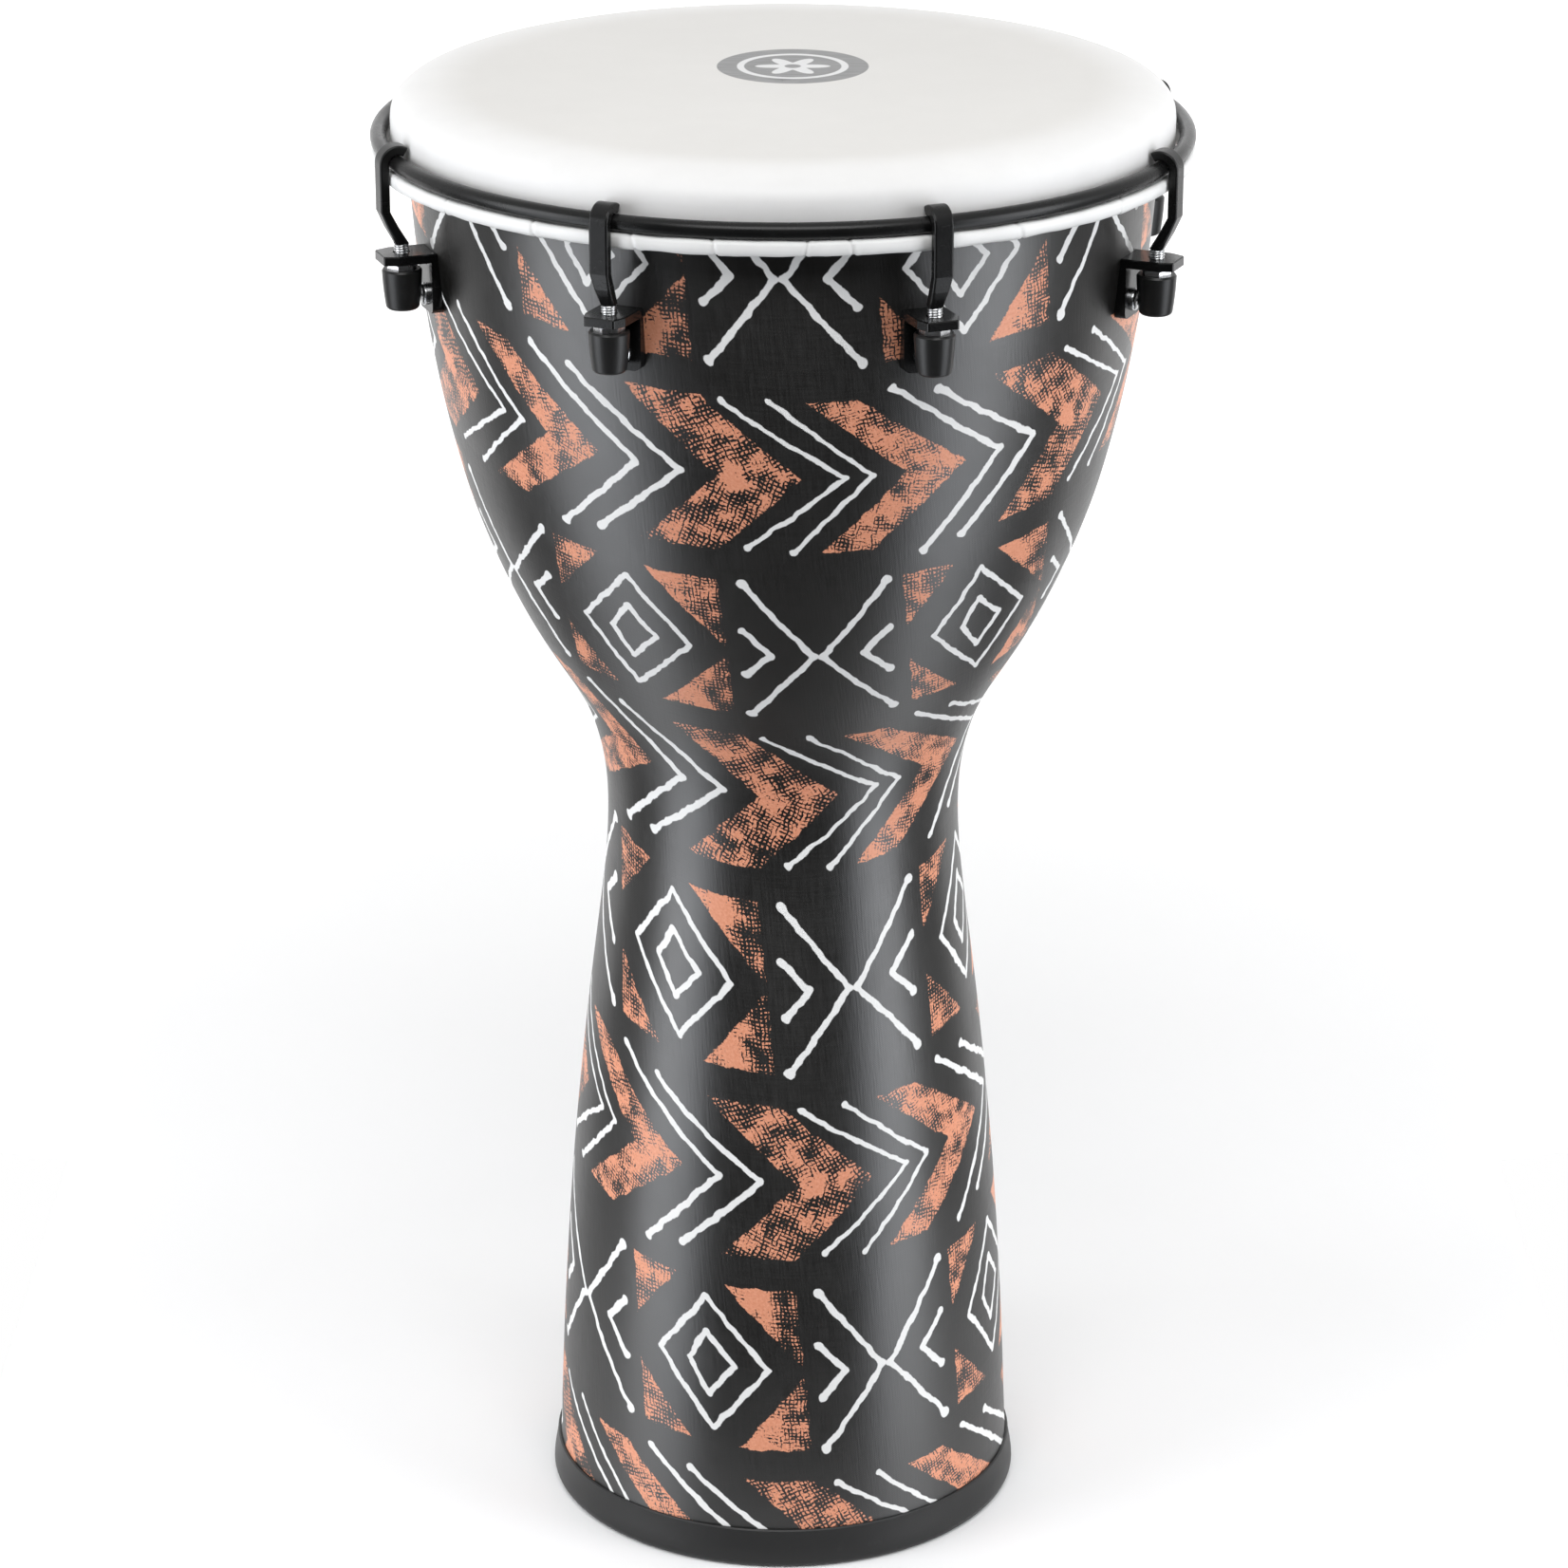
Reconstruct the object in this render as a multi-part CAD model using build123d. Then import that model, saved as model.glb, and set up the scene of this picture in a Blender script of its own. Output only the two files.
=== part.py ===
from build123d import *
import math
import os

# A djembe: moulded goblet shell, cloth wrap, synthetic head, and eight
# hook-and-nut tuning lugs. Millimetres. +Z is up, the foot stands on z = 0, and the
# player's front faces -Y. The shell is a body of revolution about the Z axis.

# ---- overall size --------------------------------------------------------------
HEIGHT = 600.0                 # floor to the playing surface
COLLAR_RADIUS = 152.5          # 12 inch head, outside of the film collar
FIT_GAP = 0.12                 # gap between nested curved parts of one body

# ---- shell and cloth -----------------------------------------------------------
CLOTH_THICKNESS = 0.6
WALL = 5.0                     # shell wall, measured level
SHELL_SKIN = CLOTH_THICKNESS + FIT_GAP   # from the cloth's outside to the shell's
SHELL_SECTIONS = {             # the one moulding, cut level into three nodes: (from, to)
    "shell_stem": (0.0, 300.0),
    "shell_bowl": (300.0, 460.0),
    "shell_collar": (460.0, 600.0),
}
# outside of the cloth: (radius, height) from the foot to the lugs, and above that an arc
GOBLET = [
    (95.1, 4.0), (94.1, 30.0), (92.8, 60.0), (90.6, 100.0), (87.8, 140.0),
    (84.1, 180.0), (79.7, 220.0), (74.6, 260.0), (72.3, 280.0), (71.3, 300.0),
    (72.4, 321.0), (75.3, 335.0), (80.9, 350.0), (89.8, 365.0), (99.0, 380.0),
    (109.3, 400.0), (117.9, 420.0), (125.0, 440.0), (130.4, 460.0),
    (134.9, 480.0), (138.5, 500.0), (141.5, 520.0),
]
COLLAR_ARC = [(141.5, 520.0), (144.3, 546.0), (146.4, 574.0)]   # the bowl's upper band
RIM_FLARE_TOP = 585.0          # the moulded lip that carries the head is widest above this

# ---- head ----------------------------------------------------------------------
FILM = 0.5
FLAT_RADIUS = 131.0            # the playing surface is flat inside this radius
SHOULDER = [(131.0, 600.0), (141.0, 599.4), (147.5, 597.2), (151.3, 593.4), (152.5, 588.0)]
SKIRT_BOTTOM = 573.2
HOOP_INNER = 153.1
HOOP_OUTER = 160.4
HOOP_BOTTOM = 571.8
HOOP_TOP = 578.0
HOOP_ROUNDING = 2.6

# ---- tension ring --------------------------------------------------------------
RING_ROD = 6.4
RING_RADIUS = 157.2            # to the middle of the rod
RING_Z = HOOP_TOP + RING_ROD / 2

# ---- lugs ----------------------------------------------------------------------
LUG_COUNT = 8
LUG_STEP = 360.0 / LUG_COUNT
FIRST_LUG = -24.15             # degrees from the front, positive towards +X
ROD_AXIS = 155.8               # distance of the tuning rods from the drum's axis
ROD_DIAMETER = 5.9             # M6
ROD_BOTTOM = 529.5
HOLE_CLEARANCE = 0.35

STRAP_WIDTH = 7.6
STRAP_THICKNESS = 3.8
STRAP_CORNER = 0.8
STRAP_AXIS = RING_RADIUS + RING_ROD / 2 + 0.3 + STRAP_THICKNESS / 2
HOOK_WRAP = 122.0              # degrees that the hook bends round the ring
BEND_Z = 563.0                 # the strap leans inwards below this
HOOK_END_Z = 550.0
HOOK_END_WIDTH = 5.8
HOOK_END_DEPTH = 5.2

FLANGE_TOP = 546.5
FLANGE_THICKNESS = 3.5
FLANGE_FRONT = 164.6
FLANGE_FRONT_HALF = 6.1        # half width of the front facet
FLANGE_HALF = 8.2
FLANGE_SHOULDER = 159.0        # where the chamfered corners end
PLATE_BOTTOM = 522.5
PLATE_FACE = 146.4             # outer face of the bracket's back plate
PLATE_ROOT = 138.0             # inside the shell wall, before the saddle is cut

WASHER_THICKNESS = 0.8
NUT_GAP = 0.15
NUT_ACROSS_FLATS = 10.0
NUT_HEIGHT = 6.0
NUT_BORE = 3.0
CAP_TOP = 540.1
CAP_BOTTOM = 524.2
CAP_TOP_RADIUS = 7.7
CAP_BOTTOM_RADIUS = 6.5
CAP_ROUNDING = 1.6
CAP_FLOOR = 1.4

BOLT_Z = 529.0
BOLT_DIAMETER = 5.0
BOLT_HEAD_DIAMETER = 8.6
BOLT_HEAD_HEIGHT = 2.0
BOLT_END = 131.0               # the bolt's end, inside the shell
BACK_WASHER_DIAMETER = 14.0
BACK_WASHER_FACE = 135.2       # inner face of the shell at the bolt is cut flat here
BACK_WASHER_THICKNESS = 1.2
BACK_NUT_HEIGHT = 2.6
BACK_NUT_ACROSS_FLATS = 8.0

# ---- foot ----------------------------------------------------------------------
FOOT_TOP = 16.8
FOOT_INNER_RADIUS = 85.5


def turned(edges):
    """Revolve a closed outline of (radius, height) edges about the drum's axis."""
    return revolve(Plane.XZ * make_face(Curve() + edges), Axis.Z)


def shifted(points, step):
    """Move an outline's points level by step, outwards when it is positive."""
    return [(radius + step, height) for radius, height in points]


def at_lug(index, part):
    """Turn a part modelled along +X to one lug's place round the drum."""
    return Rot(0, 0, FIRST_LUG - 90 + index * LUG_STEP) * part


def at_every_lug(part):
    return Compound([at_lug(i, part) for i in range(LUG_COUNT)])


def goblet_block(step):
    """Everything inside the cloth's outside surface moved by step, as one solid."""
    band = shifted(COLLAR_ARC, step)
    bottom, top = (GOBLET[0][0] + step, GOBLET[0][1]), band[-1]
    return turned([
        Spline(*shifted(GOBLET, step)),
        ThreePointArc(*band),
        Line(top, (0, top[1])),
        Line((0, top[1]), (0, bottom[1])),
        Line((0, bottom[1]), bottom),
    ])


def bolt_holes():
    hole = Cylinder(BOLT_DIAMETER / 2 + FIT_GAP, 40)
    return at_every_lug(Pos(PLATE_ROOT, 0, BOLT_Z) * Rot(0, 90, 0) * hole)


# ---- shell, cloth and foot -------------------------------------------------------
def shell():
    """Goblet wall, with a flared lip and a rounded ridge that carry the head."""
    lip_gap = FILM + FIT_GAP
    lip = [(radius - lip_gap - 0.2, height - lip_gap - 0.1) for radius, height in SHOULDER[1:]]
    lip_low = (lip[-1][0], RIM_FLARE_TOP)
    wall_top = COLLAR_ARC[-1][1]
    outer_top = COLLAR_ARC[-1][0] - SHELL_SKIN
    inner_top = outer_top - WALL
    ridge_inner = (lip[0][0] - 2.2, lip[0][1] - 3.0)
    rim = turned([
        Line((inner_top, wall_top), (outer_top, wall_top)),
        Line((outer_top, wall_top), lip_low),
        Line(lip_low, lip[-1]),
        Spline(*reversed(lip)),
        Line(lip[0], ridge_inner),
        Line(ridge_inner, (inner_top, wall_top)),
    ])
    body = goblet_block(-SHELL_SKIN) - goblet_block(-SHELL_SKIN - WALL) + rim
    seat = Cylinder(BACK_WASHER_DIAMETER / 2 + 0.6, BACK_WASHER_FACE - BOLT_END,
                    align=(Align.CENTER, Align.CENTER, Align.MIN))
    seats = at_every_lug(Pos(BOLT_END, 0, BOLT_Z) * Rot(0, 90, 0) * seat)
    return body - seats - bolt_holes()


def shell_section(whole, low, high):
    slab = Pos(0, 0, low) * Cylinder(200, high - low, align=(Align.CENTER, Align.CENTER, Align.MIN))
    return whole & slab


def fabric_wrap():
    return goblet_block(0) - goblet_block(-CLOTH_THICKNESS) - bolt_holes()


def base_ring():
    """Rubber channel over the shell's lower end, flared at the floor."""
    section = turned([
        Line((FOOT_INNER_RADIUS + 1.5, 0), (94.4, 0)),
        ThreePointArc((94.4, 0), (96.7, 1.0), (97.6, 3.4)),
        Spline((97.6, 3.4), (97.2, 7.5), (96.3, 12.5), (95.9, FOOT_TOP - 0.5)),
        Line((95.9, FOOT_TOP - 0.5), (95.4, FOOT_TOP)),
        Line((95.4, FOOT_TOP), (FOOT_INNER_RADIUS + 0.6, FOOT_TOP)),
        Line((FOOT_INNER_RADIUS + 0.6, FOOT_TOP), (FOOT_INNER_RADIUS, FOOT_TOP - 0.8)),
        Line((FOOT_INNER_RADIUS, FOOT_TOP - 0.8), (FOOT_INNER_RADIUS, 1.5)),
        Line((FOOT_INNER_RADIUS, 1.5), (FOOT_INNER_RADIUS + 1.5, 0)),
    ])
    channel = goblet_block(FIT_GAP) - goblet_block(-SHELL_SKIN - WALL - FIT_GAP)
    return section - channel


# ---- head ------------------------------------------------------------------------
def head_film():
    """Flat film with a rounded shoulder and a short upright collar."""
    inside = [(radius - FILM, height - FILM * 0.8) for radius, height in SHOULDER]
    inside[0] = (FLAT_RADIUS, HEIGHT - FILM)
    inside[-1] = (COLLAR_RADIUS - FILM, SHOULDER[-1][1])
    level, upright = (1, 0), (0, -1)
    return turned([
        Line((0, HEIGHT), SHOULDER[0]),
        Spline(*SHOULDER, tangents=(level, upright)),
        Line(SHOULDER[-1], (COLLAR_RADIUS, SKIRT_BOTTOM)),
        Line((COLLAR_RADIUS, SKIRT_BOTTOM), (COLLAR_RADIUS - FILM, SKIRT_BOTTOM)),
        Line((COLLAR_RADIUS - FILM, SKIRT_BOTTOM), inside[-1]),
        Spline(*inside, tangents=(level, upright)),
        Line(inside[0], (0, HEIGHT - FILM)),
        Line((0, HEIGHT - FILM), (0, HEIGHT)),
    ])


def flesh_hoop():
    width = HOOP_OUTER - HOOP_INNER
    height = HOOP_TOP - HOOP_BOTTOM
    section = RectangleRounded(width, height, HOOP_ROUNDING)
    centre = ((HOOP_INNER + HOOP_OUTER) / 2, (HOOP_BOTTOM + HOOP_TOP) / 2)
    return revolve(Plane.XZ * Pos(*centre) * section, Axis.Z)


def tension_ring():
    return Pos(0, 0, RING_Z) * Torus(RING_RADIUS, RING_ROD / 2)


# ---- lugs ------------------------------------------------------------------------
def hook():
    """Flat bar: bent over the ring, straight down its outside, then in to the rod."""
    section = RectangleRounded(STRAP_THICKNESS, STRAP_WIDTH, STRAP_CORNER)
    strap = Pos(STRAP_AXIS, 0, BEND_Z) * extrude(section, RING_Z - BEND_Z)
    ring_axis = Axis((RING_RADIUS, 0, RING_Z), (0, -1, 0))
    crook = revolve(Pos(STRAP_AXIS, 0, RING_Z) * section, ring_axis, HOOK_WRAP)
    middle_z = (BEND_Z + HOOK_END_Z) / 2
    middle_width = (STRAP_WIDTH + HOOK_END_WIDTH) / 2 + 0.2
    middle_depth = (STRAP_THICKNESS + HOOK_END_DEPTH) / 2
    stations = [
        Pos(STRAP_AXIS, 0, BEND_Z) * section,
        Pos((STRAP_AXIS + ROD_AXIS) / 2 + 0.3, 0, middle_z)
        * RectangleRounded(middle_depth, middle_width, 1.1),
        Pos(ROD_AXIS, 0, HOOK_END_Z)
        * RectangleRounded(HOOK_END_DEPTH, HOOK_END_WIDTH, 1.7),
    ]
    lean = loft(stations, ruled=True)
    return strap + crook + lean


def tuning_rod():
    length = HOOK_END_Z - ROD_BOTTOM
    rod = Pos(ROD_AXIS, 0, ROD_BOTTOM) * Cylinder(
        ROD_DIAMETER / 2 - 0.35, length, align=(Align.CENTER, Align.CENTER, Align.MIN))
    thread_top = HOOK_END_Z - 0.4
    thread = Pos(ROD_AXIS, 0, ROD_BOTTOM + 0.6) * Cylinder(
        ROD_DIAMETER / 2, thread_top - ROD_BOTTOM - 0.6,
        align=(Align.CENTER, Align.CENTER, Align.MIN))
    return rod + thread


def bracket():
    """Cast side bracket: a flange for the rod on a plate that sits on the shell."""
    height = FLANGE_TOP - PLATE_BOTTOM
    plate_face = RectangleRounded(2 * FLANGE_HALF, height, 3.0)
    plate = Pos(PLATE_ROOT, 0, PLATE_BOTTOM + height / 2) * Rot(0, 90, 0) * Rot(0, 0, 90) * extrude(
        plate_face, PLATE_FACE - PLATE_ROOT)
    flange = make_face(Polyline(
        (PLATE_ROOT, -FLANGE_HALF), (FLANGE_SHOULDER, -FLANGE_HALF),
        (FLANGE_FRONT, -FLANGE_FRONT_HALF), (FLANGE_FRONT, FLANGE_FRONT_HALF),
        (FLANGE_SHOULDER, FLANGE_HALF), (PLATE_ROOT, FLANGE_HALF), close=True))
    flange = Pos(0, 0, FLANGE_TOP - FLANGE_THICKNESS) * extrude(flange, FLANGE_THICKNESS)
    flange_edges = flange.edges().filter_by(Axis.Z)
    flange = fillet(flange_edges.sort_by(Axis.X)[2:], 0.8)
    flange = chamfer(flange.faces().sort_by(Axis.Z)[-1].edges(), 0.4)
    inside_corner = Plane.XZ * make_face(Polyline(
        (PLATE_FACE - 0.5, FLANGE_TOP - FLANGE_THICKNESS + 0.5),
        (PLATE_FACE + 2.2, FLANGE_TOP - FLANGE_THICKNESS + 0.5),
        (PLATE_FACE + 2.2, FLANGE_TOP - FLANGE_THICKNESS),
        (PLATE_FACE, FLANGE_TOP - FLANGE_THICKNESS - 2.2),
        (PLATE_FACE - 0.5, FLANGE_TOP - FLANGE_THICKNESS - 2.2), close=True))
    gusset = extrude(inside_corner, 1.4, both=True)
    body = plate + flange + gusset
    body -= goblet_block(FIT_GAP)
    body -= Pos(ROD_AXIS, 0, FLANGE_TOP) * Cylinder(ROD_DIAMETER / 2 + HOLE_CLEARANCE, 30)
    body -= Pos(PLATE_ROOT, 0, BOLT_Z) * Rot(0, 90, 0) * Cylinder(BOLT_DIAMETER / 2 + FIT_GAP, 40)
    return body


def washer(outer_radius, inner_radius, thickness):
    align = (Align.CENTER, Align.CENTER, Align.MIN)
    return Cylinder(outer_radius, thickness, align=align) - Cylinder(
        inner_radius, thickness, align=align)


def thrust_washer():
    """Washer between the nut and the underside of the flange."""
    low = FLANGE_TOP - FLANGE_THICKNESS - WASHER_THICKNESS
    bore = ROD_DIAMETER / 2 + HOLE_CLEARANCE
    return Pos(ROD_AXIS, 0, low) * washer(5.6, bore, WASHER_THICKNESS)


def hex_prism(across_flats, height):
    return extrude(RegularPolygon(across_flats / 2, 6, major_radius=False), height)


def hexagon_nut(across_flats, height, bore):
    """Hexagon nut standing on z = 0, with its corners chamfered at both ends."""
    corner = across_flats / math.sqrt(3)
    body = hex_prism(across_flats, height)
    cone = turned([
        Line((0, 0), (corner - 0.7, 0)),
        Line((corner - 0.7, 0), (corner + 0.1, 0.45)),
        Line((corner + 0.1, 0.45), (corner + 0.1, height - 0.45)),
        Line((corner + 0.1, height - 0.45), (corner - 0.7, height)),
        Line((corner - 0.7, height), (0, height)),
        Line((0, height), (0, 0)),
    ])
    return (body & cone) - Pos(0, 0, height / 2) * Cylinder(bore, height + 1)


def nut_top():
    return FLANGE_TOP - FLANGE_THICKNESS - WASHER_THICKNESS - NUT_GAP


def hex_nut():
    return Pos(ROD_AXIS, 0, nut_top() - NUT_HEIGHT) * hexagon_nut(
        NUT_ACROSS_FLATS, NUT_HEIGHT, NUT_BORE)


def nut_cap():
    """Tapered push-on cap with a hexagon socket and a blind bore for the rod's end."""
    side_low = CAP_BOTTOM + CAP_ROUNDING
    corner = (CAP_BOTTOM_RADIUS - CAP_ROUNDING * 0.3, CAP_BOTTOM + CAP_ROUNDING * 0.3)
    body = turned([
        Line((0, CAP_BOTTOM), (CAP_BOTTOM_RADIUS - CAP_ROUNDING, CAP_BOTTOM)),
        ThreePointArc((CAP_BOTTOM_RADIUS - CAP_ROUNDING, CAP_BOTTOM), corner,
                      (CAP_BOTTOM_RADIUS, side_low)),
        Spline((CAP_BOTTOM_RADIUS, side_low), (CAP_TOP_RADIUS - 0.35, CAP_BOTTOM + 9.0),
               (CAP_TOP_RADIUS, CAP_TOP - 0.8)),
        Line((CAP_TOP_RADIUS, CAP_TOP - 0.8), (CAP_TOP_RADIUS - 0.6, CAP_TOP)),
        Line((CAP_TOP_RADIUS - 0.6, CAP_TOP), (0, CAP_TOP)),
        Line((0, CAP_TOP), (0, CAP_BOTTOM)),
    ])
    socket_floor = nut_top() - NUT_HEIGHT
    socket = Pos(0, 0, socket_floor) * hex_prism(NUT_ACROSS_FLATS + 0.1, NUT_HEIGHT + 2)
    rod_room = Pos(0, 0, CAP_BOTTOM + CAP_FLOOR) * Cylinder(
        ROD_DIAMETER / 2 + 0.6, CAP_TOP - CAP_BOTTOM, align=(Align.CENTER, Align.CENTER, Align.MIN))
    return Pos(ROD_AXIS, 0, 0) * (body - socket - rod_room)


def bracket_bolt():
    """Low pan-head bolt with a cross recess, through bracket, cloth and shell."""
    head = Cylinder(BOLT_HEAD_DIAMETER / 2, BOLT_HEAD_HEIGHT,
                    align=(Align.CENTER, Align.CENTER, Align.MIN))
    head = fillet(head.edges().sort_by(Axis.Z)[-1], 1.1)
    slot = Pos(0, 0, BOLT_HEAD_HEIGHT) * Box(4.4, 0.9, 2.0)
    head -= slot
    head -= Rot(0, 0, 90) * slot
    shank = Cylinder(BOLT_DIAMETER / 2, PLATE_FACE - BOLT_END,
                     align=(Align.CENTER, Align.CENTER, Align.MAX))
    return Pos(PLATE_FACE, 0, BOLT_Z) * Rot(0, 90, 0) * (head + shank)


def bracket_washer():
    part = washer(BACK_WASHER_DIAMETER / 2, BOLT_DIAMETER / 2 + FIT_GAP, BACK_WASHER_THICKNESS)
    return Pos(BACK_WASHER_FACE - BACK_WASHER_THICKNESS, 0, BOLT_Z) * Rot(0, 90, 0) * part


def bracket_nut():
    part = hexagon_nut(BACK_NUT_ACROSS_FLATS, BACK_NUT_HEIGHT, BOLT_DIAMETER / 2 + 0.03)
    place = BACK_WASHER_FACE - BACK_WASHER_THICKNESS - BACK_NUT_HEIGHT
    return Pos(place, 0, BOLT_Z) * Rot(0, 90, 0) * part


def write(name, part):
    export_step(part, f"parts/{name}.step")


def main():
    os.makedirs("parts", exist_ok=True)
    whole_shell = shell()
    for name, (low, high) in SHELL_SECTIONS.items():
        write(name, shell_section(whole_shell, low, high))
    write("fabric_wrap", fabric_wrap())
    write("base_ring", base_ring())
    write("head_film", head_film())
    write("flesh_hoop", flesh_hoop())
    write("tension_ring", tension_ring())
    write("tuning_rods", at_every_lug(tuning_rod()))
    write("thrust_washers", at_every_lug(thrust_washer()))
    write("bracket_bolts", at_every_lug(bracket_bolt()))
    write("bracket_washers", at_every_lug(bracket_washer()))
    write("bracket_nuts", at_every_lug(bracket_nut()))
    lug_pieces = {"hook": hook(), "bracket": bracket(), "hex_nut": hex_nut(), "nut_cap": nut_cap()}
    for name, piece in lug_pieces.items():
        for i in range(LUG_COUNT):
            write(f"{name}_{i + 1}", at_lug(i, piece))


main()
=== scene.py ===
import math

import bpy
import numpy as np
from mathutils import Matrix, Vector


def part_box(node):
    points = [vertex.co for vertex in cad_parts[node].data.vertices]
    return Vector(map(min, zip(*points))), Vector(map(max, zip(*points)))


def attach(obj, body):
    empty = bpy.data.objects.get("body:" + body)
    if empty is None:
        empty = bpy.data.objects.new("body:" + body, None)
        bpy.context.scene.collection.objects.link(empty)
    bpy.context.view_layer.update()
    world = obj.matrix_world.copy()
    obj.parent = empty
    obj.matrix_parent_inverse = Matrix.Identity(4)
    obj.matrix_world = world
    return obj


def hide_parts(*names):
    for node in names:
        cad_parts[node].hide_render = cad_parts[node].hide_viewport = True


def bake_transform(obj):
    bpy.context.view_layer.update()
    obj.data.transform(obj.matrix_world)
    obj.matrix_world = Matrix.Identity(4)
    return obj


# A djembe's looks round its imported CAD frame. Metres, +Z up, the front faces -Y.
# Pattern sizes on the cloth are in millimetres of cloth.

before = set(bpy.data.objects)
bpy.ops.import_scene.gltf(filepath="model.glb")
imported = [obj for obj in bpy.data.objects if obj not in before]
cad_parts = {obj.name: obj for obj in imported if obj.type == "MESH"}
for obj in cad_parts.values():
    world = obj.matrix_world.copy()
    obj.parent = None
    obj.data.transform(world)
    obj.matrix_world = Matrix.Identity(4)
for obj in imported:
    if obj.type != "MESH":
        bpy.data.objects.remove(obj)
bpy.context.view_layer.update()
SHELL_NODES = ("shell_stem", "shell_bowl", "shell_collar")
SEED = 7
LUGS = 8
MM = 1000.0                   # millimetres in a metre

# ---- camera -----------------------------------------------------------------------
CAMERA_HEIGHT = 1.0658
CAMERA_DISTANCE = 1.9968
CAMERA_PITCH = 20.78          # degrees below level
LENS = 120.3                  # on a 36 mm sensor
SENSOR = 36.0
SHIFT_X = 0.0006


def make_camera():
    data = bpy.data.cameras.new("camera")
    data.lens = LENS
    data.sensor_width = SENSOR
    data.shift_x = SHIFT_X
    data.clip_start = 0.05
    data.clip_end = 60.0
    camera = bpy.data.objects.new("camera", data)
    bpy.context.scene.collection.objects.link(camera)
    camera.location = (0.0, -CAMERA_DISTANCE, CAMERA_HEIGHT)
    camera.rotation_euler = (math.radians(90.0 - CAMERA_PITCH), 0.0, 0.0)
    bpy.context.scene.camera = camera


# ---- node graphs --------------------------------------------------------------------
class Graph:
    """Short calls for building one material's node tree."""

    def __init__(self, name):
        self.material = bpy.data.materials.new(name)
        self.material.use_nodes = True
        self.tree = self.material.node_tree
        self.tree.nodes.clear()
        self.out = self.tree.nodes.new("ShaderNodeOutputMaterial")
        self.shader = self.tree.nodes.new("ShaderNodeBsdfPrincipled")
        self.link(self.shader.outputs[0], self.out.inputs["Surface"])

    def link(self, source, target):
        self.tree.links.new(source, target)

    def put(self, value, socket):
        if isinstance(value, bpy.types.NodeSocket):
            self.link(value, socket)
        else:
            socket.default_value = value

    def set(self, **values):
        """Values or links for the shader's sockets; underscores stand for spaces."""
        for name, value in values.items():
            self.put(value, self.shader.inputs[name.replace("_", " ")])

    def m(self, op, a, b=None, c=None, clamp=False):
        node = self.tree.nodes.new("ShaderNodeMath")
        node.operation = op
        node.use_clamp = clamp
        for value, socket in zip((a, b, c), node.inputs):
            if value is not None:
                self.put(value, socket)
        return node.outputs[0]

    def v(self, op, a, b=None, scale=None):
        node = self.tree.nodes.new("ShaderNodeVectorMath")
        node.operation = op
        self.put(a, node.inputs[0])
        if b is not None:
            self.put(b, node.inputs[1])
        if scale is not None:
            self.put(scale, node.inputs["Scale"])
        return node.outputs["Value" if op in ("LENGTH", "DOT_PRODUCT", "DISTANCE") else "Vector"]

    def split(self, vector):
        node = self.tree.nodes.new("ShaderNodeSeparateXYZ")
        self.link(vector, node.inputs[0])
        return node.outputs[0], node.outputs[1], node.outputs[2]

    def join(self, x, y, z=0.0):
        node = self.tree.nodes.new("ShaderNodeCombineXYZ")
        for value, socket in zip((x, y, z), node.inputs):
            self.put(value, socket)
        return node.outputs[0]

    def ramp(self, value, low, high, start=0.0, end=1.0, smooth=False):
        node = self.tree.nodes.new("ShaderNodeMapRange")
        node.interpolation_type = "SMOOTHSTEP" if smooth else "LINEAR"
        for item, socket in zip((value, low, high, start, end), node.inputs):
            self.put(item, socket)
        return node.outputs[0]

    def mix(self, factor, a, b):
        node = self.tree.nodes.new("ShaderNodeMix")
        node.data_type = "RGBA"
        self.put(factor, node.inputs["Factor"])
        self.put(a, node.inputs[6])
        self.put(b, node.inputs[7])
        return node.outputs[2]

    def place(self, scale=(1.0, 1.0, 1.0)):
        """The point in the piece's own frame, stretched by scale."""
        node = self.tree.nodes.new("ShaderNodeTexCoord")
        return self.v("MULTIPLY", node.outputs["Object"], scale)

    def named(self, name):
        node = self.tree.nodes.new("ShaderNodeAttribute")
        node.attribute_name = name
        return node.outputs["Vector"]

    def noise(self, where, scale, detail=2.0, rough=0.5, colour=False):
        node = self.tree.nodes.new("ShaderNodeTexNoise")
        node.noise_dimensions = "3D"
        self.link(where, node.inputs["Vector"])
        node.inputs["Scale"].default_value = scale
        node.inputs["Detail"].default_value = detail
        node.inputs["Roughness"].default_value = rough
        return node.outputs["Color" if colour else "Fac"]

    def bump(self, height, distance, strength):
        node = self.tree.nodes.new("ShaderNodeBump")
        node.inputs["Strength"].default_value = strength
        node.inputs["Distance"].default_value = distance
        self.link(height, node.inputs["Height"])
        return node.outputs[0]


def grey(level, warm=0.0):
    return (level * (1 + warm), level, level * (1 - warm), 1.0)


# ---- plain materials ----------------------------------------------------------------
def black_coat(name, level, rough, grain, coat=0.0):
    """Powder or electro coat on steel: fine orange peel, small scuffs and a duller patch."""
    g = Graph(name)
    at = g.place()
    fine = g.noise(at, grain, 3.0, 0.6)
    patch = g.noise(at, 35.0, 4.0, 0.6)
    scuff = g.ramp(g.noise(g.place((90.0, 90.0, 420.0)), 1.0, 4.0, 0.7), 0.62, 0.75)
    tone = g.m("MULTIPLY_ADD", patch, 0.6, 0.7)
    dark = g.mix(scuff, grey(level), grey(level * 2.6))
    g.set(
        Base_Color=g.v("SCALE", dark, scale=tone),
        Roughness=g.m("ADD", g.ramp(patch, 0.3, 0.7, rough - 0.06, rough + 0.07),
                      g.m("MULTIPLY", scuff, 0.12)),
        Normal=g.bump(fine, 0.00006, 0.45),
        Specular_IOR_Level=0.28,
        Coat_Weight=coat,
        Coat_Roughness=0.10,
    )
    return g.material


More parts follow.
